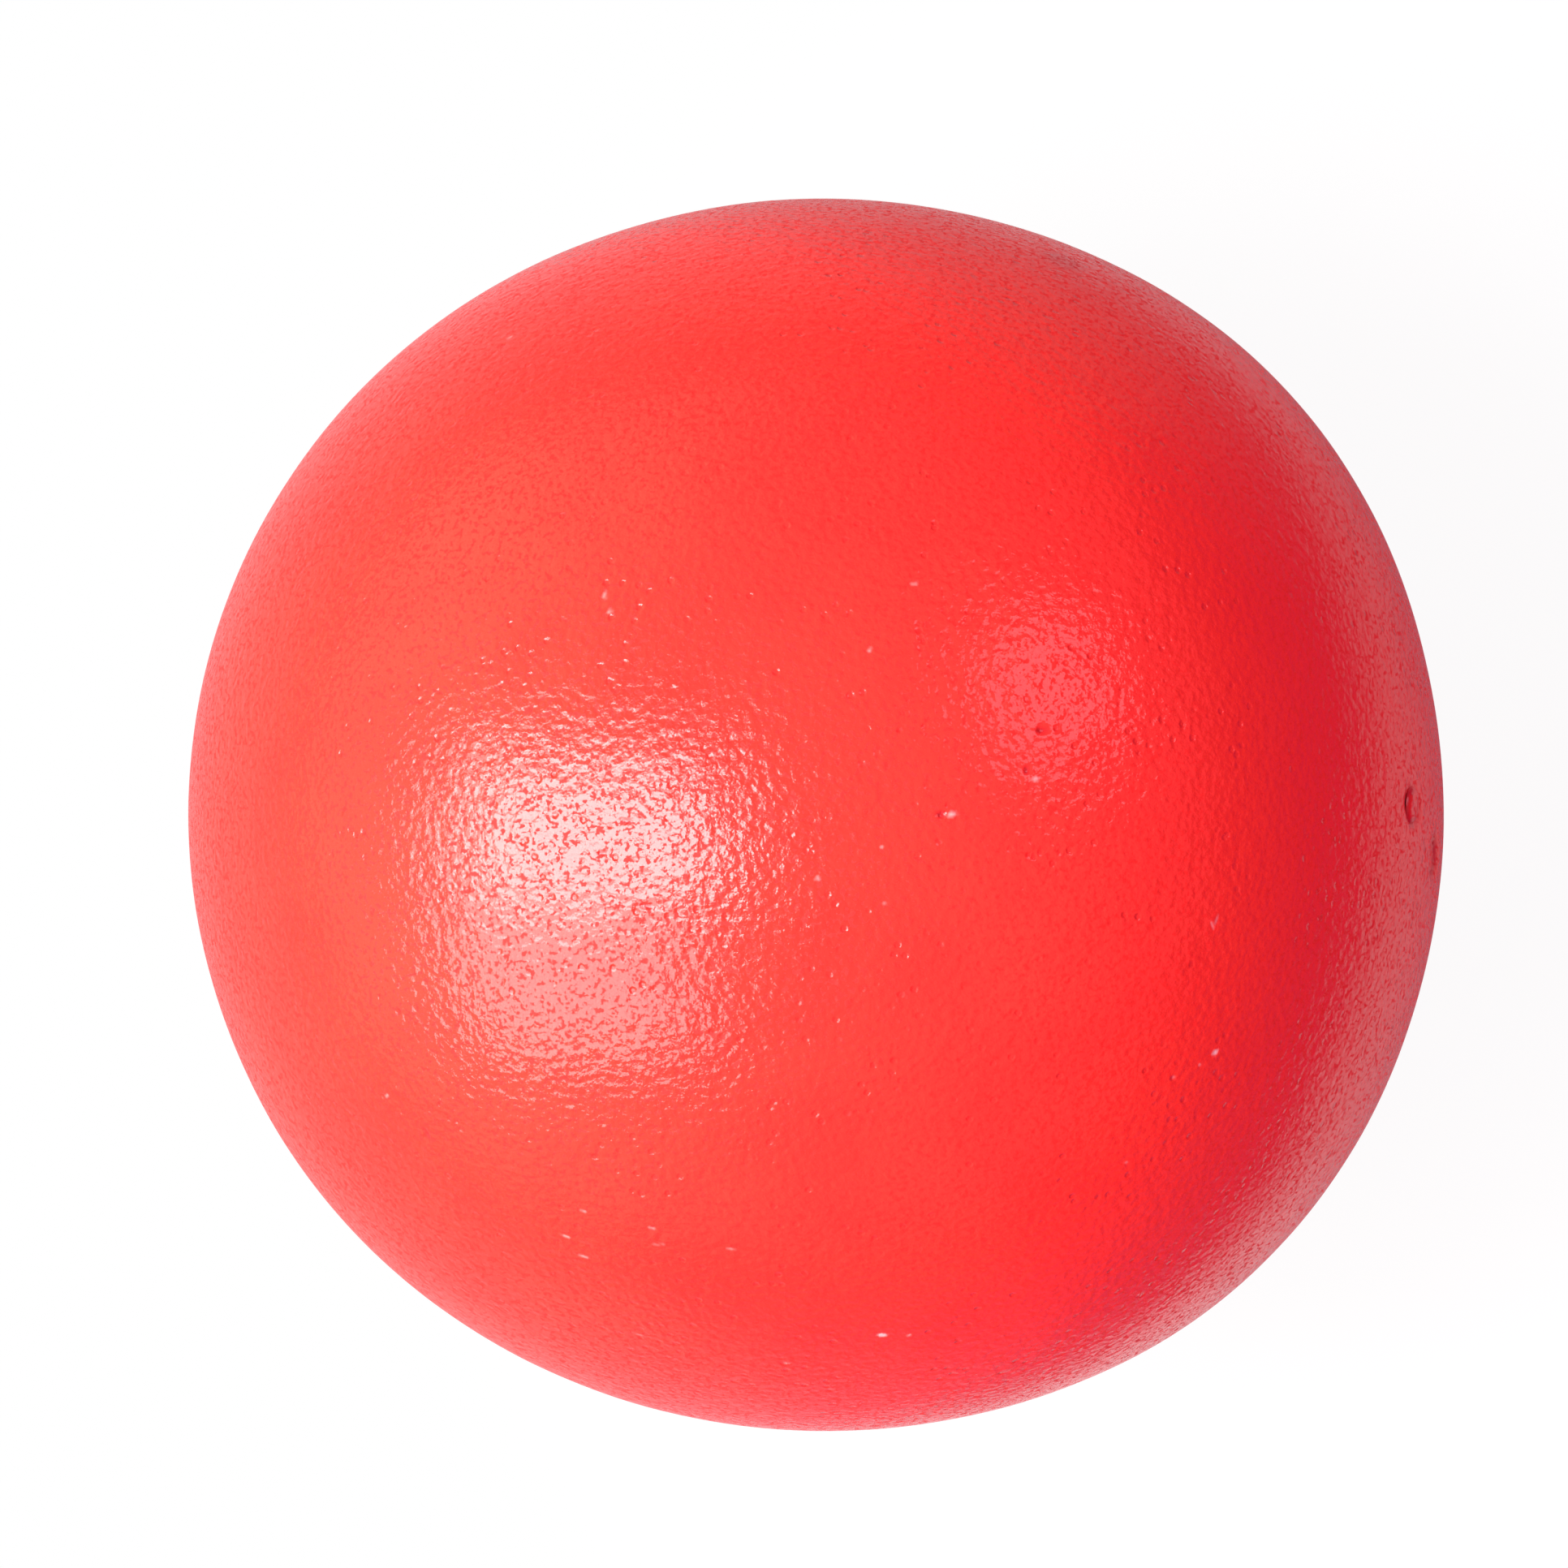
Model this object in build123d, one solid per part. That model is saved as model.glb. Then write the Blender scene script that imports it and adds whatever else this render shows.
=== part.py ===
"""A coated-foam dodgeball: a moulded foam core under a thin, tough skin.

Millimetres, +Z up. The ball lies with its turning axis along X and its holder marks at the +X pole.
The origin is the middle of the ball's length and width, on the floor that it rests on.
"""

import os
from math import cos, radians, sin, sqrt

from build123d import *

# Outline over the skin, turned about X: four tangent arcs from the front pole to the back one.
# A perfectly round ball has one radius all over, and each arc is flatter or tighter by its own amount.
ball_diameter = 178.0
front_flatness = 7.5
shoulder_tightness = 11.0
waist_flatness = 8.0

# Where each arc ends, in degrees from the front pole
front_reach = 25.5
shoulder_reach = 64.5
waist_reach = 112.5

# Coats of skin, which cure into one layer on the core
skin_thickness = 0.8

# Flat that the soft ball makes under its own weight
rest_depth = 0.5

# Dents and holes left at the front pole by the two prongs that held the core while it was coated
prong_spacing = 15.6
prong_turn = 26.0  # degrees about X, from +Z towards +Y
prong_hole_diameter = 4.0
prong_hole_depth = 9.0  # below the floor of the dent
dent_diameter = 8.0
dent_depth = 1.0

# Dab of skin material that closes each prong hole
plug_clearance = 0.05
plug_stand = 0.6  # above the floor of the dent
plug_edge_round = 0.8

ball_radius = ball_diameter / 2
front_radius = ball_radius + front_flatness
arc_radii = [front_radius, ball_radius - shoulder_tightness, ball_radius + waist_flatness]
arc_ends = [0.0, front_reach, shoulder_reach, waist_reach, 180.0]


def height_gained(radius, start, end):
    """How far from the axis an arc climbs between two angles from the front pole."""
    return radius * (sin(radians(end)) - sin(radians(start)))


def length_gained(radius, start, end):
    """How far along the axis an arc runs between two angles from the front pole."""
    return radius * (cos(radians(start)) - cos(radians(end)))


# The back arc is the one that comes down square to the axis
back_arc_height = sum(map(height_gained, arc_radii, arc_ends, arc_ends[1:]))
arc_radii.append(back_arc_height / sin(radians(waist_reach)))

ball_length = sum(map(length_gained, arc_radii, arc_ends, arc_ends[1:]))
waist_half_width = sum(map(height_gained, arc_radii[:3], arc_ends, [front_reach, shoulder_reach, 90.0]))
front_pole = ball_length / 2
ball_middle = Pos(Z=waist_half_width - rest_depth)

# The prong lines run along X on either side of the axis, where the front arc has fallen away a little
front_fall = front_radius - sqrt(front_radius**2 - prong_spacing**2 / 4)
dent_floor = front_pole - front_fall - dent_depth
dent_radius = (dent_diameter**2 / 4 + dent_depth**2) / (2 * dent_depth)
prong_lines = [
    ball_middle * Rot(X=-prong_turn) * Pos(Z=side * prong_spacing / 2) for side in (1, -1)
]


def turned_form(depth):
    """The ball as turned about its axis, up to a surface at a depth below the skin's face."""
    point = pole = Vector(front_pole - depth, 0)
    direction = Vector(0, 1)
    arcs = []
    for radius, start, end in zip(arc_radii, arc_ends, arc_ends[1:]):
        arc = JernArc(point, direction, radius - depth, end - start)
        point, direction = arc @ 1, arc % 1
        arcs.append(arc)
    half_section = make_face(arcs + [Line(point, pole)])
    return ball_middle * revolve(half_section, Axis.X)


def ball_form(depth):
    """The ball up to a surface at a depth below the skin's face, with its rest flat and its two dents."""
    form = split(turned_form(depth), Plane.XY.offset(depth), keep=Keep.TOP)
    dent = Pos(X=dent_floor + dent_radius) * Sphere(dent_radius + depth)
    for line in prong_lines:
        form -= line * dent
    return form


def prong_pin(diameter, start, end):
    """A round pin along X, between two distances from the middle of the ball."""
    pin = Cylinder(diameter / 2, end - start, align=(Align.CENTER, Align.CENTER, Align.MIN))
    return Pos(X=start) * Rot(Y=90) * pin


def with_prong_holes(piece):
    """A piece with both prong holes cut through it, to their blind ends in the core."""
    hole = prong_pin(prong_hole_diameter, dent_floor - prong_hole_depth, front_pole)
    for line in prong_lines:
        piece -= line * hole
    return piece


def make_plug(line):
    """The dab that fills one prong hole and stands up in its dent with a rounded edge."""
    diameter = prong_hole_diameter - 2 * plug_clearance
    blind_end = dent_floor - prong_hole_depth
    plug = prong_pin(diameter, blind_end, dent_floor + plug_stand)
    plug = fillet(plug.edges().sort_by(Axis.X)[-1], plug_edge_round)
    return line * plug


under_skin = ball_form(skin_thickness)
upper_line, lower_line = prong_lines

pieces = {
    "foam_core": with_prong_holes(under_skin),
    "skin": with_prong_holes(ball_form(0) - under_skin),
    "upper_prong_plug": make_plug(upper_line),
    "lower_prong_plug": make_plug(lower_line),
}

os.makedirs("parts", exist_ok=True)
for node, shape in pieces.items():
    export_step(shape, f"parts/{node}.step")
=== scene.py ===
from collections import namedtuple
from math import acos, cos, pi, radians, sin, sqrt
from random import Random

import bmesh
import bpy
from bpy.props import FloatProperty, FloatVectorProperty, PointerProperty
from bpy.types import Operator, Panel, PropertyGroup
from mathutils import Matrix, Vector, noise
from mathutils.kdtree import KDTree


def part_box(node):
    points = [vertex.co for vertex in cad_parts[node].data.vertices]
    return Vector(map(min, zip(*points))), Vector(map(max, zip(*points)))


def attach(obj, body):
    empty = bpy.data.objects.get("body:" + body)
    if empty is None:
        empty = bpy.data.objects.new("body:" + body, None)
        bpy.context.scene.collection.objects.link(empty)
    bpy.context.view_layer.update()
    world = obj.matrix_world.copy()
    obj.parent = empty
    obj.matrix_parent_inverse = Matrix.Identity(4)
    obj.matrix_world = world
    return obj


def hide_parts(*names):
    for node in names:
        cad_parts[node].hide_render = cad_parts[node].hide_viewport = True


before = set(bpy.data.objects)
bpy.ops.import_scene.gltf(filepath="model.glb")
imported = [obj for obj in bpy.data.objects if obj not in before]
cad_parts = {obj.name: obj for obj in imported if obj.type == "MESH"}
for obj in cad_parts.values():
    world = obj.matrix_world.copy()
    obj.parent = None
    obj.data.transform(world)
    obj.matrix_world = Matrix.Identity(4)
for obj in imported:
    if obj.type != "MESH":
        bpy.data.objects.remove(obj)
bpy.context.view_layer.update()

bl_info = {
    "name": "Coated-foam dodgeball",
    "version": (1, 0, 0),
    "blender": (4, 5, 0),
    "location": "3D View > Sidebar > Dodgeball",
    "description": "Dresses a dodgeball with its red skin, prong plugs and foam core, and sets it on a stage",
    "category": "Object",
}

mm = 0.001

# Boxes of the solids, which the dressed ball keeps to
_, skin_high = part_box("skin")
_, core_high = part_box("foam_core")
plug_boxes = {side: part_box(f"{side}_prong_plug") for side in ("upper", "lower")}

# The ball is as high as it is wide, apart from the flat that it rests on
ball_middle = Vector((0, 0, skin_high.z - skin_high.y))


def length(name, default, description):
    return FloatProperty(name=name, description=description, default=default, precision=5, unit="LENGTH")


def angle(name, default, description):
    return FloatProperty(name=name, description=description, default=default, unit="ROTATION")


def share(name, default, description):
    return FloatProperty(name=name, description=description, default=default, min=0, max=1, subtype="FACTOR")


def amount(name, default, description):
    return FloatProperty(name=name, description=description, default=default, min=0)


def colour(name, default, description):
    return FloatVectorProperty(
        name=name, description=description, default=default, min=0, max=1, subtype="COLOR"
    )


def vector(name, default, description, subtype="XYZ"):
    return FloatVectorProperty(name=name, description=description, default=default, subtype=subtype)


class BallForm(PropertyGroup):
    """Sizes of the ball, whose outline of four tangent arcs is turned about X."""

    diameter: length("Diameter", 178 * mm, "Diameter of a perfectly round ball of this class")
    front_flatness: length("Front flatness", 7.5 * mm, "How much the front arc is flatter than round")
    shoulder_tightness: length("Shoulder tightness", 11 * mm, "How much the shoulder is tighter than round")
    waist_flatness: length("Waist flatness", 8 * mm, "How much the waist arc is flatter than round")
    front_reach: angle("Front reach", radians(25.5), "Where the front arc ends, from the front pole")
    shoulder_reach: angle("Shoulder reach", radians(64.5), "Where the shoulder ends, from the front pole")
    waist_reach: angle("Waist reach", radians(112.5), "Where the waist arc ends, from the front pole")
    skin_thickness: length("Skin thickness", skin_high.x - core_high.x, "Thickness of the cured coats")
    core_clearance: length("Core clearance", 0.03 * mm, "Gap between the skin and the core's meshes")
    lump_height: length("Lump height", 0.1 * mm, "Height of the broad lumps that the moulding leaves")
    lump_width: length("Lump width", 30 * mm, "Typical width of a lump")
    back_swelling: length("Back swelling", 0.2 * mm, "Extra height at the back pole")
    back_swelling_width: length("Back swelling width", 26 * mm, "Width of the swelling at the back pole")


class HolderMarks(PropertyGroup):
    """Sizes of the two dents, holes and dabs that the prongs of the holder leave at the front pole."""

    dent_width: length("Dent width", 7.6 * mm, "Size of a dent across the ball")
    dent_height: length("Dent height", 9.4 * mm, "Size of a dent up the ball")
    upper_dent_depth: length("Upper dent depth", 0.55 * mm, "Depth of the upper dent at its floor")
    lower_dent_depth: length("Lower dent depth", 0.95 * mm, "Depth of the lower dent at its floor")
    dent_floor: share("Dent floor", 0.35, "Share of a dent's size that its floor takes")
    lip_height: length("Lip height", 0.05 * mm, "Height of the lip round a dent")
    hole_diameter: length("Hole diameter", 4.0 * mm, "Diameter of a prong hole")
    plug_clearance: length("Plug clearance", 0.05 * mm, "Gap between a plug and its hole")
    plug_stand: length("Plug stand", 0.6 * mm, "Height of a solid plug over the floor of its dent")
    dab_diameter: length("Dab diameter", 5.6 * mm, "Diameter of a plug's head in its dent")
    upper_dab_height: length("Upper dab height", 0.9 * mm, "Height of the upper plug's head in its dent")
    lower_dab_height: length("Lower dab height", 0.35 * mm, "Height of the lower plug's head in its dent")


class RedFinish(PropertyGroup):
    """Colours and relief of the skin."""

    red: colour("Red", (0.96, 0.0330, 0.0190), "Main colour of the skin")
    deep_red: colour("Deep red", (0.92, 0.0250, 0.0160), "Colour of the darker mottling")
    speck_red: colour("Speck red", (0.91, 0.009, 0.003), "Colour of the fine matt specks")
    pale: colour("Pale", (0.90, 0.62, 0.58), "Colour of chips and scuffs")
    # Painted shade: the dark red that pits, holder dents and the plugs' sides are darkened towards; the dark
    # marks use it too.
    shade_and_dark_mark_red: colour("Grime", (0.30, 0.004, 0.012), "Colour of the dirt in pits and dents")
    top_roughness: share("Top roughness", 0.10, "Roughness on the tops of the grain")
    valley_roughness: share("Valley roughness", 0.16, "Roughness in the valleys of the grain")
    speck_roughness: share("Speck roughness", 0.70, "Roughness of the fine matt specks")
    speck_level: share("Speck level", 0.585, "Noise past which the skin is matt; higher leaves fewer specks")
    speck_softness: share("Speck softness", 0.04, "How far either side of that level a speck fades")
    speck_size: length("Speck size", 0.70 * mm, "Typical width of the fine matt specks")
    sheen: share("Sheen", 0.062, "Strength of the soft bloom that shows towards the ball's edge")
    grain_size: length("Grain size", 1.2 * mm, "Typical width of the leathery grain")
    grain_height: length("Grain height", 0.165 * mm, "Height of the leathery grain")
    peel_size: length("Orange-peel size", 2.4 * mm, "Typical width of the orange peel")
    peel_height: length("Orange-peel height", 0.10 * mm, "Height of the orange peel")
    mottle_size: length("Mottle size", 18 * mm, "Typical width of the darker mottling")
    pit_patch_size: length("Pit patch size", 9 * mm, "Typical width of the patches that have pits")
    pit_spacing: length("Pit spacing", 2.2 * mm, "Typical distance between the pits in such a patch")
    pit_depth: length("Pit depth", 0.10 * mm, "Depth of a pit")


class FoamFinish(PropertyGroup):
    """Colours and cells of the foam core."""

    cream: colour("Cream", (0.83, 0.71, 0.45), "Main colour of the foam")
    # Painted shade: the colour that darkens the inside of the foam's cells; the darker clouds use it too.
    cell_shade: colour("Cell shade", (0.62, 0.48, 0.26), "Colour inside the foam's cells")
    cell_size: length("Cell size", 0.9 * mm, "Typical width of a foam cell")
    cell_depth: length("Cell depth", 0.25 * mm, "Depth of a foam cell that is cut open")
    cloud_size: length("Cloud size", 14 * mm, "Typical width of the foam's paler and darker patches")


class StageSettings(PropertyGroup):
    """Floor, lamps and camera."""

    floor_seen: colour("Seen floor", (0.8, 0.8, 0.8), "Colour of the floor as the camera sees it")
    floor_near: colour("Near floor", (0.53, 0.41, 0.40), "Colour that the floor throws back round the ball")
    floor_far: colour("Far floor", (0.29, 0.17, 0.17), "Colour that the floor throws back further out")
    floor_dim: colour("Dim floor", (0.27, 0.01, 0.11), "Colour that the far floor's dim side throws back")
    dim_side: vector("Dim side", (0.9, -0.44, 0), "Direction of the floor's dim side")
    dim_start: length("Dim start", -0.05, "How far towards the dim side the floor starts to dim")
    dim_end: length("Dim end", 0.18, "How far towards the dim side the floor is dim altogether")
    floor_middle: vector("Floor middle", (0.06, -0.01, 0), "Middle of the near floor", "TRANSLATION")
    floor_radius: length("Floor radius", 0.075, "How far the near floor reaches")
    floor_fade: length("Floor fade", 0.085, "Width of the fade from the near floor to the far one")
    floor_glow: share("Floor glow", 0.94, "Share of the floor's look that is plain white")
    floor_mirror_glow: share("Mirrored glow", 0.05, "Share of the floor's mirrored look that is plain white")
    lamp_distance: length("Lamp distance", 1.4, "From the middle of the ball to the planes of the lamps")
    panel_brightness: amount("Panel", 4.0, "Brightness of the main lamp's wide panel, in times white")
    low_brightness: amount("Low panel", 4.8, "Brightness of the main lamp's low panel, in times white")
    middle_brightness: amount("Middle", 7.9, "Extra brightness of the main lamp's middle, in times white")
    main_direction: vector(
        "Main direction", (-0.636, -0.284, 0.719), "Towards the main lamp: right, up and back in the picture"
    )
    main_tint: colour("Main tint", (1, 0.975, 1), "Colour of the main lamp")
    second_brightness: amount("Second lamp", 1.75, "Brightness of the round lamp, in times white")
    second_direction: vector(
        "Second direction", (0.587, 0.363, 0.724), "Towards the round lamp: right, up and back in the picture"
    )
    second_tint: colour("Second tint", (1, 0.78, 0.94), "Colour of the round lamp")
    dark: colour("Dark", (0.57, 0.12, 0.32), "Colour of the studio's dark sides")
    ceiling: colour("Ceiling", (0.52, 0.28, 0.44), "Colour of the studio's ceiling")
    wall: colour("Wall", (1.0, 1.0, 0.76), "Colour of the studio's wall behind the main lamp")
    camera_distance: length("Camera distance", 2.5, "From the camera to the middle of the ball")
    camera_tilt: angle("Camera tilt", radians(15), "Lean of the view from plumb, towards the front pole")
    camera_roll: angle("Camera roll", radians(1.42), "Turn of the picture about the view")
    view_width: length("View width", 0.2237, "Width of the picture at the middle of the ball")
    view_across: length("View across", 4.41 * mm, "How far right of the picture's middle the ball lies")
    view_down: length("View down", 4.39 * mm, "How far below the picture's middle the ball lies")


def form_settings():
    return bpy.context.scene.dodgeball_form


def mark_settings():
    return bpy.context.scene.dodgeball_marks


def camera_axes():
    """Directions to the right of the picture, up it, and back to the camera."""
    stage = bpy.context.scene.dodgeball_stage
    back = Vector((sin(stage.camera_tilt), 0, cos(stage.camera_tilt)))
    level = Vector((cos(stage.camera_tilt), 0, -sin(stage.camera_tilt)))
    sideways = Vector((0, 1, 0))
    right = level * cos(stage.camera_roll) + sideways * sin(stage.camera_roll)
    up = sideways * cos(stage.camera_roll) - level * sin(stage.camera_roll)
    return right, up, back


class TurnedOutline:
    """The ball's form: tangent arcs from the front pole to the back one, turned about X."""

    largest_misfit = 0.2 * mm
    search_rounds = 40

    def __init__(self, form):
        round_radius = form.diameter / 2
        ends = [0.0, form.front_reach, form.shoulder_reach, form.waist_reach, pi]
        radii = [
            round_radius + form.front_flatness,
            round_radius - form.shoulder_tightness,
            round_radius + form.waist_flatness,
        ]
        climb = sum(r * (sin(end) - sin(start)) for r, start, end in zip(radii, ends, ends[1:]))
        radii.append(climb / sin(form.waist_reach))
        self.arcs = list(zip(radii, ends, ends[1:]))
        self.front_pole = self.turned_to(pi)[0] / 2
        if abs(self.front_pole - skin_high.x) > self.largest_misfit:
            raise RuntimeError("the outline of the skin doesn't fit the frame")

    def turned_to(self, angle_from_front):
        """Distances back along X and out from it, at the place where the outline has turned by an angle."""
        back = out = 0.0
        for radius, start, end in self.arcs:
            turned = min(angle_from_front, end)
            if turned > start:
                back += radius * (cos(start) - cos(turned))
                out += radius * (sin(turned) - sin(start))
        return back, out

    def place(self, normal):
        """The place on the form that faces along a unit normal."""
        back, out = self.turned_to(acos(max(-1.0, min(1.0, normal.x))))
        side = Vector((0, normal.y, normal.z))
        side.normalize()
        return ball_middle + Vector((self.front_pole - back, 0, 0)) + side * out

    def seen_normal(self, across, up):
        """The normal at a place that lies across and up from the ball's middle, as the camera sees it."""
        right, above, back = camera_axes()
        distance = bpy.context.scene.dodgeball_stage.camera_distance
        radius = form_settings().diameter / 2
        normal = back
        for _ in range(self.search_rounds):
            offset = self.place(normal) - ball_middle
            nearness = distance / (distance - offset.dot(back))
            miss_across = across - nearness * offset.dot(right)
            miss_up = up - nearness * offset.dot(above)
            normal = (normal + (right * miss_across + above * miss_up) / radius).normalized()
        return normal


# Marks on the skin: millimetres across and up from the ball's middle as the camera sees it, the length and
# width of the mark, its turn in degrees, its depth (a raised mark is below zero), and its tone, which runs
# from -1 for a dark mark to 1 for a bare pale chip; the one painted dark reflection has a tone below zero
Wear = namedtuple("Wear", "across up length width turn depth tone")

nicks = [
    Wear(17.8, 0.3, 2.2, 1.3, 10, 0.30, -1.0),
    Wear(19.4, 0.2, 1.7, 0.9, 15, -0.12, 0.5),
    Wear(32.3, 12.2, 2.8, 1.1, 5, 0.35, -1.0),
    Wear(30.1, 6.5, 1.3, 1.7, 0, 0.35, -1.0),
    Wear(31.3, 5.2, 1.4, 0.8, 10, -0.08, 0.4),
    Wear(-55.5, -45.6, 1.3, 2.7, 15, 0.30, -1.0),
    Wear(-24.1, -12.9, 3.4, 1.1, -3, 0.25, -1.0),
    Wear(-27.0, -0.8, 2.4, 0.9, 0, 0.22, -1.0),
    Wear(-30.5, -5.4, 2.2, 1.0, 8, 0.20, -1.0),
]
chips = [
    Wear(9.5, -74.2, 1.8, 1.1, -20, 0.10, 1.0),
    Wear(13.4, -74.2, 0.9, 0.6, 10, 0.05, 0.5),
    Wear(57.0, -33.8, 1.5, 1.0, 10, 0.10, 0.9),
    Wear(54.8, -35.6, 0.8, 0.6, 30, 0.04, 0.4),
    Wear(51.1, -37.3, 0.8, 0.6, -30, 0.04, 0.3),
    Wear(44.3, -49.5, 0.9, 0.6, 0, 0.04, 0.3),
    Wear(57.0, -15.0, 2.4, 0.5, 60, 0.05, 0.35),
    Wear(56.5, -15.6, 1.7, 0.5, -55, 0.05, 0.35),
    Wear(-4.2, -78.2, 1.2, 0.6, 0, 0.04, 0.3),
    Wear(14.1, 33.2, 1.3, 0.6, 20, 0.04, 0.3),
    Wear(7.6, 23.7, 0.9, 0.6, 60, 0.04, 0.3),
    Wear(0.2, -8.9, 0.9, 0.8, 0, 0.04, 0.35),
    Wear(9.8, -12.6, 0.9, 0.5, 0, 0.04, 0.3),
    Wear(9.3, -4.5, 0.8, 0.6, 0, 0.04, 0.3),
    Wear(-43.6, 68.2, 1.3, 0.7, 40, 0.04, 0.35),
    Wear(-30.1, 31.4, 1.8, 0.6, 80, 0.05, 0.35),
    Wear(-29.4, 29.2, 1.0, 0.6, 20, 0.05, 0.35),
]
scratches = [
    Wear(-33.0, -56.4, 1.6, 0.4, 20, 0.06, 0.35),
    Wear(-35.5, -60.1, 2.2, 0.4, -15, 0.06, 0.35),
    Wear(-33.0, -62.9, 2.0, 0.4, 5, 0.06, 0.35),
    Wear(-23.4, -58.9, 0.9, 0.6, 0, 0.05, 0.35),
    Wear(-22.3, -61.2, 1.8, 0.4, 15, 0.06, 0.3),
    Wear(-12.1, -61.8, 1.5, 0.4, 0, 0.05, 0.25),
    Wear(-61.1, -40.0, 1.4, 0.4, 30, 0.05, 0.3),
    Wear(-25.2, -74.1, 2.6, 0.5, -20, 0.07, 0.2),
]
# A painted dark reflection near the top edge: darker colour, with no dent under it.
painted_dark_reflections = [
    Wear(35.7, 79.3, 8.5, 11.0, -24, 0.0, -0.5),
]
seen_wear = nicks + chips + scratches + painted_dark_reflections
far_side_wear_count = 70
far_side_wear_seed = 7


class WearSpot:
    """One mark on the skin, of wear or of painted dark reflection, ready to be measured from."""

    raggedness = 0.35
    ragged_size = 0.45 * mm
    ragged_reach = 1.3  # times the size of the mark
    noise_change = 700  # per metre on the ball, so that no two marks are alike
    edge_fall = 1.5

    def __init__(self, outline, normal, wear):
        self.normal = normal
        self.place = outline.place(normal)
        self.wear = wear
        right, up, _ = camera_axes()
        along = right * cos(radians(wear.turn)) + up * sin(radians(wear.turn))
        self.along = (along - normal * along.dot(normal)).normalized()
        self.across = normal.cross(self.along)
        self.reach = self.ragged_reach * max(wear.length, wear.width) * mm / 2

    def strength(self, place):
        """1 in the middle of the mark, falling smoothly to 0 at its edge."""
        offset = place - self.place
        far_along = offset.dot(self.along) / (self.wear.length * mm / 2)
        far_across = offset.dot(self.across) / (self.wear.width * mm / 2)
        ragged = noise.noise(offset / self.ragged_size + self.place * self.noise_change)
        wobble = 1 + self.raggedness * ragged
        return max(0.0, 1 - (far_along**2 + far_across**2) * wobble) ** self.edge_fall


def wear_spots(outline):
    """The marks that the camera sees, and a scatter of like marks on the rest of the ball."""
    spots = []
    for wear in seen_wear:
        normal = outline.seen_normal(wear.across * mm, wear.up * mm)
        spots.append(WearSpot(outline, normal, wear))
    chance = Random(far_side_wear_seed)
    _, _, back = camera_axes()
    while len(spots) < len(seen_wear) + far_side_wear_count:
        normal = Vector((chance.gauss(0, 1), chance.gauss(0, 1), chance.gauss(0, 1))).normalized()
        like = chance.choice(nicks + chips + scratches)
        turn = chance.uniform(0, 180)
        out_of_view = normal.dot(back) < 0.1
        clear_of_floor = normal.z > -0.9
        if out_of_view and clear_of_floor:
            spots.append(WearSpot(outline, normal, like._replace(turn=turn)))
    return spots


def spot_tree(spots):
    """The marks by place, for a quick search."""
    tree = KDTree(len(spots))
    for number, spot in enumerate(spots):
        tree.insert(spot.place, number)
    tree.balance()
    return tree


def prong_lines():
    """Where the two prong holes run: their places across X, from the plugs' boxes."""
    return {side: (low + high) / 2 for side, (low, high) in plug_boxes.items()}


# Edge of a dent, in shares of the dent's own size: how far it wanders and how often, and where its lip lies
dent_raggedness, dent_wander = 0.22, 1.3
lip_middle, lip_half_width = 1.12, 0.3


def dent_relief(place):
    """Height of the skin's face at the holder marks: a lip, a wall and a floor round each prong hole."""
    marks = mark_settings()
    relief = 0.0
    if place.x < 0:
        return relief
    for side, line in prong_lines().items():
        depth = getattr(marks, f"{side}_dent_depth")
        y = (place.y - line.y) / (marks.dent_width / 2)
        z = (place.z - line.z) / (marks.dent_height / 2)
        own_noise = line.z * 300
        ragged = 1 + dent_raggedness * noise.noise(Vector((y * dent_wander, z * dent_wander, own_noise)))
        far = sqrt(y * y + z * z) * ragged
        slope = max(0.0, min(1.0, (1 - far) / (1 - marks.dent_floor)))
        relief -= depth * slope * slope * (3 - 2 * slope)
        relief += marks.lip_height * max(0.0, 1 - abs(far - lip_middle) / lip_half_width) ** 2
    return relief


def broad_relief(normal):
    """Height of the lumps that the moulding leaves, and of the swelling at the back pole."""
    form = form_settings()
    place = normal * form.diameter / 2
    finer = 0.4
    lumps = noise.noise(place / form.lump_width + Vector((3.1, 1.7, 5.2)))
    lumps += finer * noise.noise(place / (finer * form.lump_width) + Vector((7.3, 2.9, 0.4)))
    from_back = (normal - Vector((-1, 0, 0))).length * form.diameter / form.back_swelling_width
    swelling = max(0.0, 1 - from_back * from_back) ** 2
    return form.lump_height * lumps + form.back_swelling * swelling


# Subdivisions of the ball's walls, and further ones near marks
outer_fineness, inner_fineness, mark_fineness = 7, 6, 2
holder_marks_reach = 14 * mm
crease_angle = radians(50)


def holder_marks_place(form):
    """The front pole, and how far round it the holder marks reach on a unit sphere."""
    return Vector((1, 0, 0)), holder_marks_reach / (form.diameter / 2)


def fine_sphere(subdivisions, places, levels):
    """A unit sphere that is finer near some places on it, each a normal and a reach."""
    bm = bmesh.new()
    bmesh.ops.create_icosphere(bm, subdivisions=subdivisions, radius=1.0)
    tree = KDTree(len(places))
    for number, (normal, reach) in enumerate(places):
        tree.insert(normal, number)
    tree.balance()
    widest = max(reach for normal, reach in places)
    for _ in range(levels):
        edges = []
        for edge in bm.edges:
            middle = (edge.verts[0].co + edge.verts[1].co) / 2
            margin = edge.calc_length()
            found = tree.find_range(middle, widest + margin)
            if any(distance < places[number][1] + margin for _, number, distance in found):
                edges.append(edge)
        bmesh.ops.subdivide_edges(bm, edges=edges, cuts=1, use_grid_fill=True)
        for vert in bm.verts:
            vert.co.normalize()
    bmesh.ops.triangulate(bm, faces=bm.faces[:])
    return bm


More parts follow.
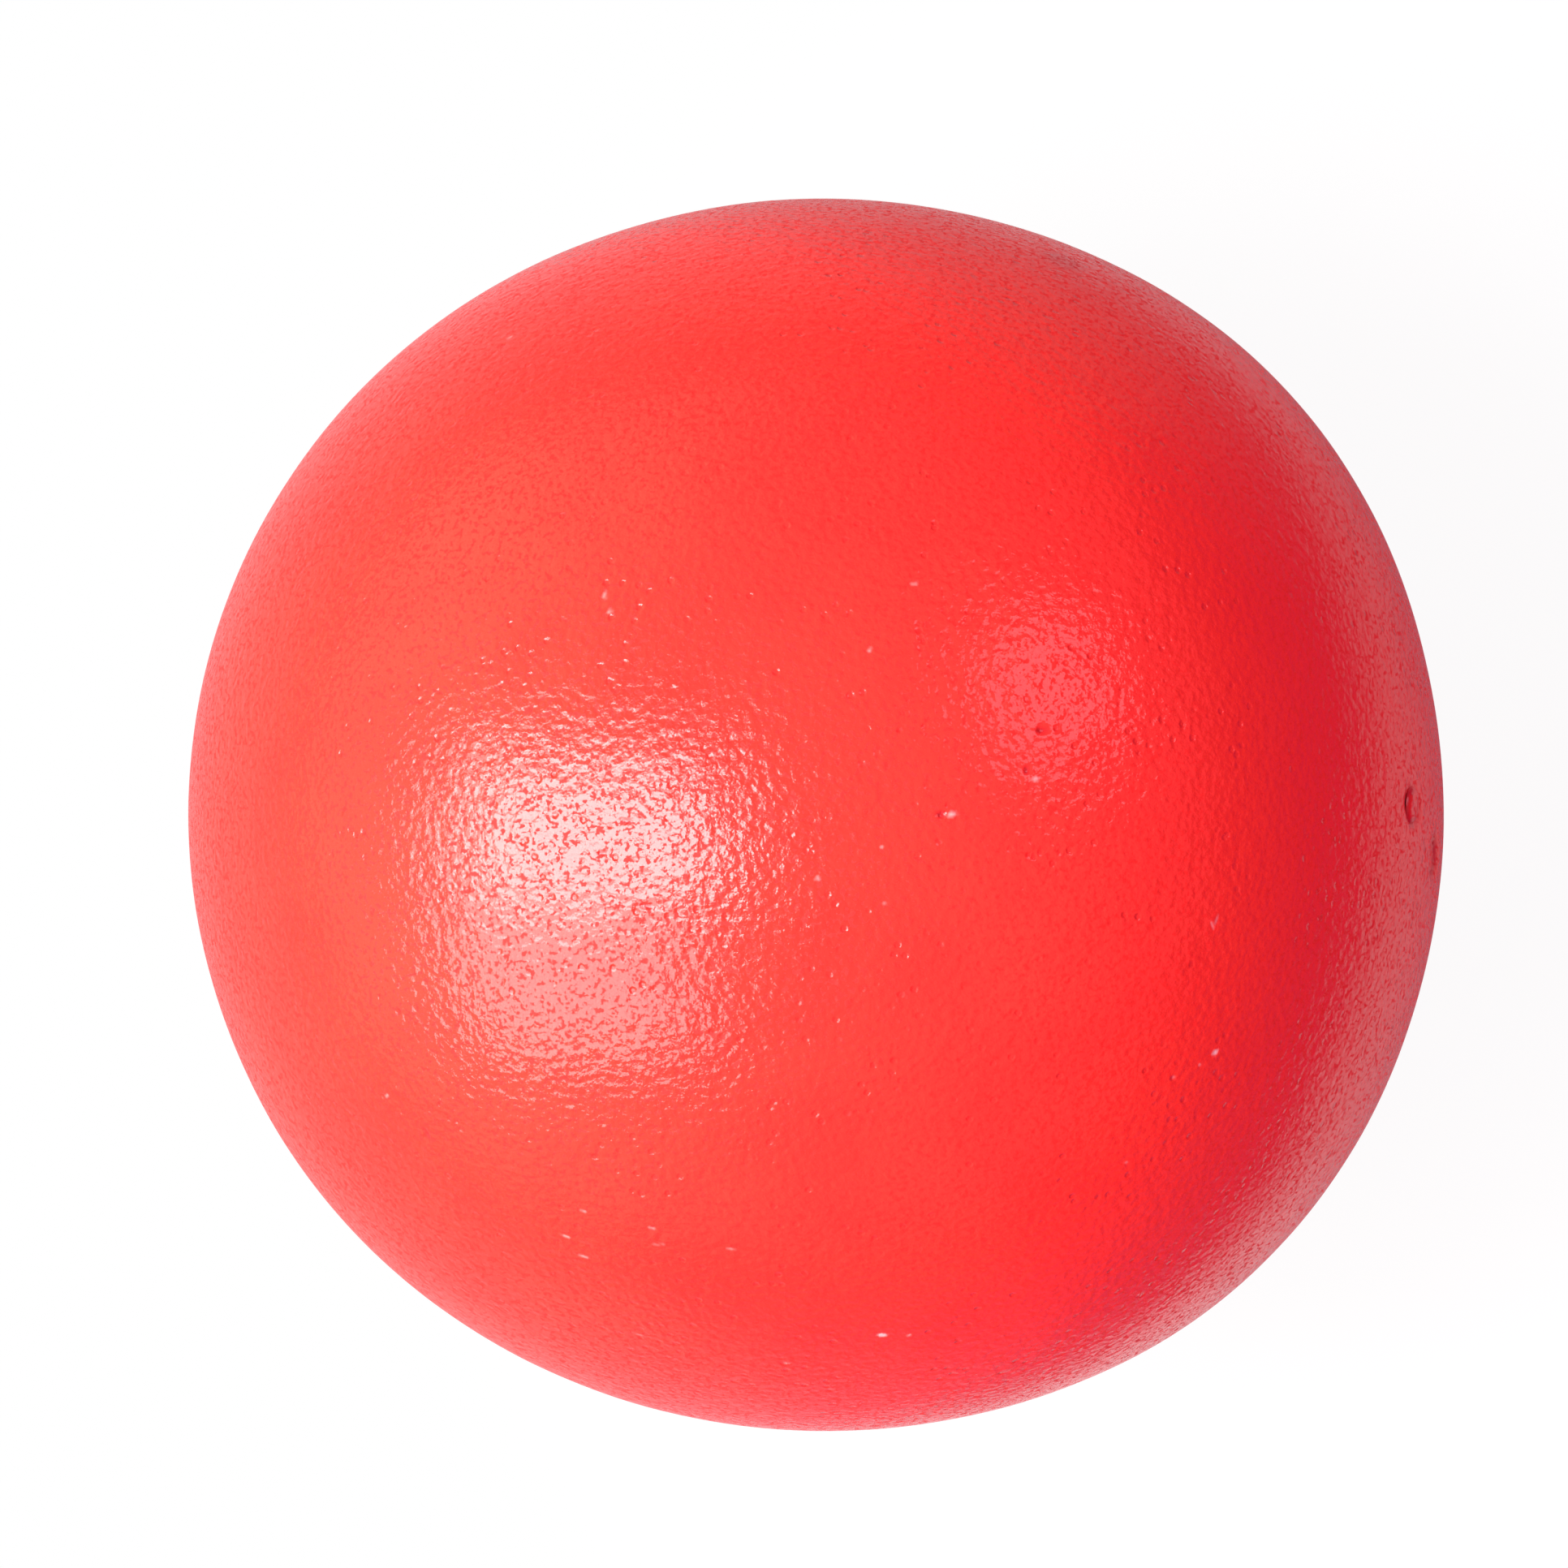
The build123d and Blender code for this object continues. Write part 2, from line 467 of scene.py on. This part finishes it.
def ball_wall(outline, depth, subdivisions, places, spots):
    """A closed wall with the ball's form, at a depth below the skin's face."""
    bm = fine_sphere(subdivisions, places, mark_fineness)
    tree = spot_tree(spots)
    widest = max((spot.reach for spot in spots), default=0)
    for vert in bm.verts:
        normal = vert.co.normalized()
        place = outline.place(normal)
        height = broad_relief(normal) + dent_relief(place) - depth
        for _, number, _ in tree.find_range(place, widest):
            height -= spots[number].wear.depth * mm * spots[number].strength(place)
        place += normal * height
        place.z = max(place.z, depth)
        vert.co = place
    return bm


def add_inner_wall(bm, inner):
    """Adds a wall to a mesh, turned inside out."""
    bmesh.ops.reverse_faces(inner, faces=inner.faces[:])
    mesh = bpy.data.meshes.new("inner wall")
    inner.to_mesh(mesh)
    inner.free()
    bm.from_mesh(mesh)
    bpy.data.meshes.remove(mesh)


def add_piece(name, bm, material):
    mesh = bpy.data.meshes.new(name)
    bm.to_mesh(mesh)
    bm.free()
    mesh.materials.append(material)
    mesh.shade_smooth()
    piece = bpy.data.objects.new(name, mesh)
    bpy.context.scene.collection.objects.link(piece)
    return piece


def cut_prong_holes(piece):
    """Cuts both prong holes in a piece, as deep as the plugs reach."""
    marks = mark_settings()
    bm = bmesh.new()
    for low, high in plug_boxes.values():
        middle = (low + high) / 2
        end = high.x + 3 * mm  # well out of the skin
        place = Matrix.Translation(((low.x + end) / 2, middle.y, middle.z))
        along_x = Matrix.Rotation(pi / 2, 4, "Y")
        bmesh.ops.create_cone(
            bm, cap_ends=True, segments=64, depth=end - low.x, matrix=place @ along_x,
            radius1=marks.hole_diameter / 2, radius2=marks.hole_diameter / 2,
        )
    prongs = add_piece("prongs", bm, None)
    cut = piece.modifiers.new("prong holes", "BOOLEAN")
    cut.operation = "DIFFERENCE"
    cut.solver = "EXACT"
    cut.object = prongs
    graph = bpy.context.evaluated_depsgraph_get()
    holed = bpy.data.meshes.new_from_object(piece.evaluated_get(graph))
    piece.modifiers.clear()
    solid = piece.data
    piece.data = holed
    holed.name = piece.name
    bpy.data.meshes.remove(solid)
    bpy.data.objects.remove(prongs)


# Wander of a dab's head out of round, as a share of the height over its dent's floor
dab_wander = 0.35
dab_wander_size = 1.6 * mm

# Places in the noise, well apart, that the wander along each axis is read from
wander_shifts = [Vector((0, 0, 0)), Vector((31.4, 0, 0)), Vector((0, 47.2, 0))]


def dab_outline(start, floor, top):
    """Half the outline of a plug, from its blind end to its top: distances along X and out from its line."""
    marks = mark_settings()
    pin = marks.hole_diameter / 2 - marks.plug_clearance
    head = marks.dab_diameter / 2
    blind_end = [(start, 0), (start, 0.6 * pin), (start, pin), (start + 0.4 * mm, pin)]
    neck = [(floor - 0.2 * mm, pin), (floor + 0.02 * mm, pin)]
    rim = [(floor + 0.06 * mm, head), (floor + 0.2 * mm, head), (top - 0.1 * mm, 0.85 * head)]
    crown = [(top, 0.5 * head), (top, 0)]
    return blind_end + neck + rim + crown


def dab_wall(side, floor, top):
    """A plug turned about its line, whose head wanders out of round."""
    low, _ = plug_boxes[side]
    line = prong_lines()[side]
    bm = bmesh.new()
    verts = [bm.verts.new((x, line.y, line.z + out)) for x, out in dab_outline(low.x, floor, top)]
    edges = [bm.edges.new(pair) for pair in zip(verts, verts[1:])]
    bmesh.ops.spin(
        bm, geom=verts + edges, cent=(0, line.y, line.z), axis=(1, 0, 0), angle=2 * pi, steps=32,
        use_merge=True,
    )
    bmesh.ops.remove_doubles(bm, verts=bm.verts[:], dist=0.001 * mm)
    bmesh.ops.recalc_face_normals(bm, faces=bm.faces[:])
    own_noise = Vector((0, 0, line.z * 200))
    for vert in bm.verts:
        lift = max(0.0, vert.co.x - floor)
        start = vert.co / dab_wander_size + own_noise
        wander = Vector([noise.noise(start + shift) for shift in wander_shifts])
        vert.co += wander * dab_wander * lift
    return bm


def paint_wear_and_shade(mesh, spots):
    """Writes how pale and how dark the skin is at each vertex: wear, dark marks, and painted shade in the
    holder dents.
    """
    wear_gain, dent_shade_gain = 1.3, 1.6
    tree = spot_tree(spots)
    widest = max(spot.reach for spot in spots)
    pale = mesh.attributes.new("pale", "FLOAT", "POINT")
    dirt = mesh.attributes.new("dirt", "FLOAT", "POINT")
    for vert in mesh.vertices:
        paleness = darkness = 0.0
        for _, number, _ in tree.find_range(vert.co, widest):
            spot = spots[number]
            strength = min(1.0, wear_gain * spot.strength(vert.co))
            paleness = max(paleness, spot.wear.tone * strength)
            darkness = max(darkness, -spot.wear.tone * strength)
        # Painted shade: the deeper a holder dent is, the darker its skin is painted.
        hollow = -dent_relief(vert.co) / mark_settings().lower_dent_depth
        pale.data[vert.index].value = paleness
        dirt.data[vert.index].value = max(darkness, min(1.0, dent_shade_gain * hollow))


class Field:
    """A value on a shader socket. Sums, differences and products of fields add Math nodes."""

    def __init__(self, socket):
        self.socket = socket

    def math(self, operation, first, second):
        node = self.socket.id_data.nodes.new("ShaderNodeMath")
        node.operation = operation
        join(node.inputs[0], first)
        join(node.inputs[1], second)
        return Field(node.outputs[0])

    def __add__(self, other):
        return self.math("ADD", self, other)

    def __radd__(self, other):
        return self.math("ADD", other, self)

    def __sub__(self, other):
        return self.math("SUBTRACT", self, other)

    def __rsub__(self, other):
        return self.math("SUBTRACT", other, self)

    def __mul__(self, other):
        return self.math("MULTIPLY", self, other)

    def __rmul__(self, other):
        return self.math("MULTIPLY", other, self)


def join(socket, value):
    """Links a field to a socket, or sets a plain value on it."""
    if isinstance(value, Field):
        socket.id_data.links.new(value.socket, socket)
    elif socket.type == "RGBA" and len(value) == 3:
        socket.default_value = (*value, 1)
    else:
        socket.default_value = value


class Recipe:
    """A node tree, with one method that adds any node to it."""

    def __init__(self, owner):
        owner.use_nodes = True
        self.tree = owner.node_tree
        self.tree.nodes.clear()

    def add(self, kind, settings, sockets, output=0):
        node = self.tree.nodes.new(kind)
        for name, value in settings.items():
            setattr(node, name, value)
        for name, value in sockets.items():
            join(node.inputs[name], value)
        return Field(node.outputs[output]) if node.outputs else None

    def place(self):
        return self.add("ShaderNodeTexCoord", {}, {}, "Object")

    def noise(self, size, detail):
        """Smooth noise from 0 to 1, with features of about a given size."""
        sockets = {"Vector": self.place(), "Scale": 1 / size, "Detail": detail}
        return self.add("ShaderNodeTexNoise", {"noise_dimensions": "3D"}, sockets)

    def cells(self, size):
        """Distance from the middle of the nearest of a crowd of cells of about a given size."""
        sockets = {"Vector": self.place(), "Scale": 1 / size}
        return self.add("ShaderNodeTexVoronoi", {"feature": "F1"}, sockets, "Distance")

    def step(self, value, start, end):
        """0 before start, 1 after end and smooth between them."""
        sockets = {"Value": value, "From Min": start, "From Max": end}
        return self.add("ShaderNodeMapRange", {"interpolation_type": "SMOOTHSTEP"}, sockets)

    def attribute(self, name):
        return self.add("ShaderNodeAttribute", {"attribute_name": name}, {}, "Fac")

    def blend(self, factor, first, second):
        """A colour that goes from first to second."""
        factor_socket, first_socket, second_socket, colour_output = 0, 6, 7, 2
        sockets = {factor_socket: factor, first_socket: first, second_socket: second}
        return self.add("ShaderNodeMix", {"data_type": "RGBA"}, sockets, colour_output)

    def bump(self, height):
        """Normals of a relief, whose height is in millimetres."""
        return self.add("ShaderNodeBump", {}, {"Height": height, "Distance": mm, "Strength": 1.0})

    def surface(self, shader):
        self.add("ShaderNodeOutputMaterial", {}, {"Surface": shader})


def red_skin_material():
    """Satin polyurethane: leathery grain over orange peel, mottled red, with pale chips, dark marks and
    painted shade in pits and dents.
    """
    finish = bpy.context.scene.dodgeball_red
    material = bpy.data.materials.new("red skin")
    recipe = Recipe(material)
    grain = recipe.noise(finish.grain_size, 2.0)
    peel = recipe.noise(finish.peel_size, 1.0)
    speckle = recipe.noise(finish.speck_size, 1.0)
    level, softness = finish.speck_level, finish.speck_softness
    specks = recipe.step(speckle, level - softness, level + softness)
    pit_patches = recipe.step(recipe.noise(finish.pit_patch_size, 0.0), 0.47, 0.60)
    pits = recipe.step(recipe.cells(finish.pit_spacing), 0.30, 0.10) * pit_patches
    pale = recipe.attribute("pale")
    dirt = recipe.attribute("dirt")

    mottle = recipe.step(recipe.noise(finish.mottle_size, 3.0), 0.35, 0.7)
    red = recipe.blend(0.7 * mottle, finish.red, finish.deep_red)
    red = recipe.blend(specks, red, finish.speck_red)
    # Painted shade: pits, holder dents and the plugs' sides are darkened towards a dark red, as are the dark
    # marks.
    red = recipe.blend(0.6 * dirt + 0.12 * pits, red, finish.shade_and_dark_mark_red)
    red = recipe.blend(pale, red, finish.pale)

    tops = recipe.step(grain, 0.36, 0.62)
    satin = finish.valley_roughness - (finish.valley_roughness - finish.top_roughness) * tops
    roughness = satin + (finish.speck_roughness - satin) * specks
    height = (finish.grain_height / mm) * grain + (finish.peel_height / mm) * peel
    height = height - (finish.pit_depth / mm) * pits
    shader = recipe.add(
        "ShaderNodeBsdfPrincipled",
        {},
        {
            "Base Color": red,
            "Roughness": roughness + 0.2 * pale,
            "Specular IOR Level": 0.5,
            "Sheen Weight": finish.sheen,
            "Sheen Roughness": 0.5,
            "Normal": recipe.bump(height),
        },
    )
    recipe.surface(shader)
    return material


def foam_material():
    """Open-celled cream foam, with painted shade inside its cells."""
    finish = bpy.context.scene.dodgeball_foam
    material = bpy.data.materials.new("foam")
    recipe = Recipe(material)
    cells = recipe.step(recipe.cells(finish.cell_size), 0.55, 0.15)
    cloud = recipe.noise(finish.cloud_size, 2.0)
    # Painted shade inside the cells.
    cream = recipe.blend(0.8 * cells, finish.cream, finish.cell_shade)
    cream = recipe.blend(0.3 * cloud, cream, finish.cell_shade)
    shader = recipe.add(
        "ShaderNodeBsdfPrincipled",
        {},
        {
            "Base Color": cream,
            "Roughness": 0.85 + 0.1 * cloud,
            "Specular IOR Level": 0.2,
            "Normal": recipe.bump((-finish.cell_depth / mm) * cells),
        },
    )
    recipe.surface(shader)
    return material


def floor_material():
    """A floor that the camera sees as white, with the ball's shadow on it.

    What it throws back at the ball is pale close by, darker further out and darkest on its dim side.
    """
    stage = bpy.context.scene.dodgeball_stage
    material = bpy.data.materials.new("floor")
    recipe = Recipe(material)
    sockets = {0: recipe.place(), 1: stage.floor_middle}
    distance = recipe.add("ShaderNodeVectorMath", {"operation": "DISTANCE"}, sockets, "Value")
    far = recipe.step(distance, stage.floor_radius, stage.floor_radius + stage.floor_fade)
    sockets = {0: recipe.place(), 1: stage.dim_side}
    towards_dim = recipe.add("ShaderNodeVectorMath", {"operation": "DOT_PRODUCT"}, sockets, "Value")
    dim = recipe.step(towards_dim, stage.dim_start, stage.dim_end)
    camera_ray, glossy_ray, clear_ray = (
        recipe.add("ShaderNodeLightPath", {}, {}, kind)
        for kind in ("Is Camera Ray", "Is Glossy Ray", "Is Transmission Ray")
    )
    far_floor = recipe.blend(dim, stage.floor_far, stage.floor_dim)
    thrown_back = recipe.blend(far, stage.floor_near, far_floor)
    paint = recipe.blend(camera_ray, thrown_back, stage.floor_seen)
    seen_glow = stage.floor_glow + (1 - stage.floor_glow) * far
    mirrored_glow = stage.floor_mirror_glow * (1 - far)
    glow = seen_glow * camera_ray + mirrored_glow * (glossy_ray + clear_ray)
    matt = recipe.add("ShaderNodeBsdfDiffuse", {}, {"Color": paint})
    white = recipe.add("ShaderNodeEmission", {}, {"Color": (1, 1, 1)})
    recipe.surface(recipe.add("ShaderNodeMixShader", {}, {0: glow, 1: matt, 2: white}))
    return material


# Parts of the main lamp: share of the lamp distance that each stands at, its offset and size on the lamp's
# plane as shares of its own distance, and the setting that holds its brightness
LampPart = namedtuple("LampPart", "nearness offset size brightness")

main_lamp_parts = {
    "wide panel": LampPart(1.0, (-0.07, 0.29), (1.10, 0.58), "panel_brightness"),
    "low panel": LampPart(1.0, (-0.17, -0.24), (0.82, 0.48), "low_brightness"),
    "bright middle": LampPart(0.95, (0.0, 0.23), (0.77, 0.38), "middle_brightness"),
}
second_lamp_size = (0.5, 0.5)
white_lamp_watts = 4  # for each square metre of an area lamp that looks plain white


def add_lamp(name, shape, direction, distance, offset, size, brightness, tint):
    """Adds an area lamp on a plane that faces the ball; its brightness is in times white.

    The direction is in the picture's axes. The offset on that plane and the size are shares of the distance.
    """
    data = bpy.data.lights.new(name, "AREA")
    data.shape = shape
    data.size, data.size_y = size[0] * distance, size[1] * distance
    area = data.size * data.size_y * (pi / 4 if shape == "ELLIPSE" else 1)
    data.energy = white_lamp_watts * area * brightness
    data.color = tint
    lamp = bpy.data.objects.new(name, data)
    bpy.context.scene.collection.objects.link(lamp)
    right, up, back = camera_axes()
    outward = right * direction[0] + up * direction[1] + back * direction[2]
    outward.normalize()
    side = up.cross(outward).normalized()
    rise = outward.cross(side)
    middle = ball_middle + (outward + side * offset[0] + rise * offset[1]) * distance
    turn = Matrix((side, rise, outward)).transposed().to_4x4()
    lamp.matrix_world = Matrix.Translation(middle) @ turn


def add_world():
    """A dark studio with a paler ceiling, and a warm wall behind the main lamp."""
    wall_side, ceiling_side = (-0.95, 0, 0.3), (0.26, 0, 0.97)
    stage = bpy.context.scene.dodgeball_stage
    world = bpy.data.worlds.new("studio")
    bpy.context.scene.world = world
    recipe = Recipe(world)
    direction = recipe.add("ShaderNodeTexCoord", {}, {}, "Generated")

    def towards(middle, start, end):
        sockets = {0: direction, 1: middle}
        dot = recipe.add("ShaderNodeVectorMath", {"operation": "DOT_PRODUCT"}, sockets, "Value")
        return recipe.step(dot, start, end)

    paint = recipe.blend(towards(wall_side, -0.1, 1.0), stage.dark, stage.wall)
    paint = recipe.blend(towards(ceiling_side, 0.3, 0.95), paint, stage.ceiling)
    light = recipe.add("ShaderNodeBackground", {}, {"Color": paint})
    recipe.add("ShaderNodeOutputWorld", {}, {"Surface": light})


class DODGEBALL_OT_add_skin(Operator):
    """Make the red skin: a thin shell with its lumps, holder marks, wear, and painted shade in its dents"""

    bl_idname = "dodgeball.add_skin"
    bl_label = "Add skin"

    def execute(self, context):
        form = form_settings()
        outline = TurnedOutline(form)
        spots = wear_spots(outline)
        radius = form.diameter / 2
        dents = [holder_marks_place(form)]
        fine = dents + [(spot.normal, spot.reach / radius) for spot in spots]
        bm = ball_wall(outline, 0.0, outer_fineness, fine, spots)
        add_inner_wall(bm, ball_wall(outline, form.skin_thickness, inner_fineness, dents, []))
        skin = add_piece("red_skin_shell", bm, red_skin_material())
        cut_prong_holes(skin)
        skin.data.set_sharp_from_angle(angle=crease_angle)
        paint_wear_and_shade(skin.data, spots)
        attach(skin, "root")
        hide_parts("skin")
        return {"FINISHED"}


class DODGEBALL_OT_add_core(Operator):
    """Make the moulded foam core, with the blind holes of the prongs"""

    bl_idname = "dodgeball.add_core"
    bl_label = "Add foam core"

    def execute(self, context):
        form = form_settings()
        outline = TurnedOutline(form)
        dents = [holder_marks_place(form)]
        bm = ball_wall(outline, form.skin_thickness + form.core_clearance, inner_fineness, dents, [])
        core = add_piece("moulded_foam_core", bm, foam_material())
        cut_prong_holes(core)
        core.data.set_sharp_from_angle(angle=crease_angle)
        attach(core, "root")
        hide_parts("foam_core")
        return {"FINISHED"}


class DODGEBALL_OT_add_plugs(Operator):
    """Make the two dabs that close the prong holes"""

    bl_idname = "dodgeball.add_plugs"
    bl_label = "Add prong plugs"

    def execute(self, context):
        marks = mark_settings()
        material = bpy.data.materials["red skin"]
        for side, (_, high) in plug_boxes.items():
            shallower = marks.lower_dent_depth - getattr(marks, f"{side}_dent_depth")
            floor = high.x - marks.plug_stand + shallower
            top = floor + getattr(marks, f"{side}_dab_height")
            bm = dab_wall(side, floor, top)
            dab = add_piece(f"{side}_prong_dab", bm, material)
            # Painted shade: the plug's sides below its crown are painted dark, and its crown only a little.
            dirt = dab.data.attributes.new("dirt", "FLOAT", "POINT")
            for vert in dab.data.vertices:
                below_crown = vert.co.x < top - 0.12 * mm
                dirt.data[vert.index].value = 0.9 if below_crown else 0.15
            smooth = dab.modifiers.new("soft edges", "SUBSURF")
            smooth.levels = smooth.render_levels = 2
            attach(dab, "root")
            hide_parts(f"{side}_prong_plug")
        return {"FINISHED"}


class DODGEBALL_OT_add_stage(Operator):
    """Add the floor, the lamps and the camera"""

    bl_idname = "dodgeball.add_stage"
    bl_label = "Add stage"

    def execute(self, context):
        stage = context.scene.dodgeball_stage
        bm = bmesh.new()
        bmesh.ops.create_circle(bm, cap_ends=True, segments=96, radius=6.0)
        add_piece("floor", bm, floor_material())

        for name, part in main_lamp_parts.items():
            distance = part.nearness * stage.lamp_distance
            brightness = getattr(stage, part.brightness)
            add_lamp(
                name, "RECTANGLE", stage.main_direction, distance, part.offset, part.size, brightness,
                stage.main_tint,
            )
        add_lamp(
            "second lamp", "ELLIPSE", stage.second_direction, stage.lamp_distance, (0, 0), second_lamp_size,
            stage.second_brightness, stage.second_tint,
        )
        add_world()
        context.scene.view_settings.view_transform = "Standard"

        right, up, back = camera_axes()
        data = bpy.data.cameras.new("camera")
        data.lens = data.sensor_width * stage.camera_distance / stage.view_width
        camera = bpy.data.objects.new("camera", data)
        context.scene.collection.objects.link(camera)
        place = ball_middle + back * stage.camera_distance - right * stage.view_across + up * stage.view_down
        turn = Matrix((right, up, back)).transposed().to_4x4()
        camera.matrix_world = Matrix.Translation(place) @ turn
        context.scene.camera = camera
        return {"FINISHED"}


class DODGEBALL_PT_sidebar(Panel):
    """Settings of the dodgeball, and a button for each of its pieces"""

    bl_label = "Dodgeball"
    bl_idname = "DODGEBALL_PT_sidebar"
    bl_space_type = "VIEW_3D"
    bl_region_type = "UI"
    bl_category = "Dodgeball"

    def draw(self, context):
        for name, (group, operator) in settings_and_operators.items():
            box = self.layout.box()
            settings = getattr(context.scene, name)
            for setting in group.__annotations__:
                box.prop(settings, setting)
            box.operator(operator.bl_idname)


settings_and_operators = {
    "dodgeball_form": (BallForm, DODGEBALL_OT_add_core),
    "dodgeball_marks": (HolderMarks, DODGEBALL_OT_add_plugs),
    "dodgeball_red": (RedFinish, DODGEBALL_OT_add_skin),
    "dodgeball_foam": (FoamFinish, DODGEBALL_OT_add_core),
    "dodgeball_stage": (StageSettings, DODGEBALL_OT_add_stage),
}
operators = [
    DODGEBALL_OT_add_skin,
    DODGEBALL_OT_add_core,
    DODGEBALL_OT_add_plugs,
    DODGEBALL_OT_add_stage,
]


def register():
    for name, (group, _) in settings_and_operators.items():
        bpy.utils.register_class(group)
        setattr(bpy.types.Scene, name, PointerProperty(type=group))
    for operator in operators:
        bpy.utils.register_class(operator)
    bpy.utils.register_class(DODGEBALL_PT_sidebar)


def unregister():
    bpy.utils.unregister_class(DODGEBALL_PT_sidebar)
    for operator in reversed(operators):
        bpy.utils.unregister_class(operator)
    for name, (group, _) in settings_and_operators.items():
        delattr(bpy.types.Scene, name)
        bpy.utils.unregister_class(group)


def main():
    register()
    bpy.ops.dodgeball.add_skin()
    bpy.ops.dodgeball.add_core()
    bpy.ops.dodgeball.add_plugs()
    bpy.ops.dodgeball.add_stage()


if __name__ == "__main__":
    main()
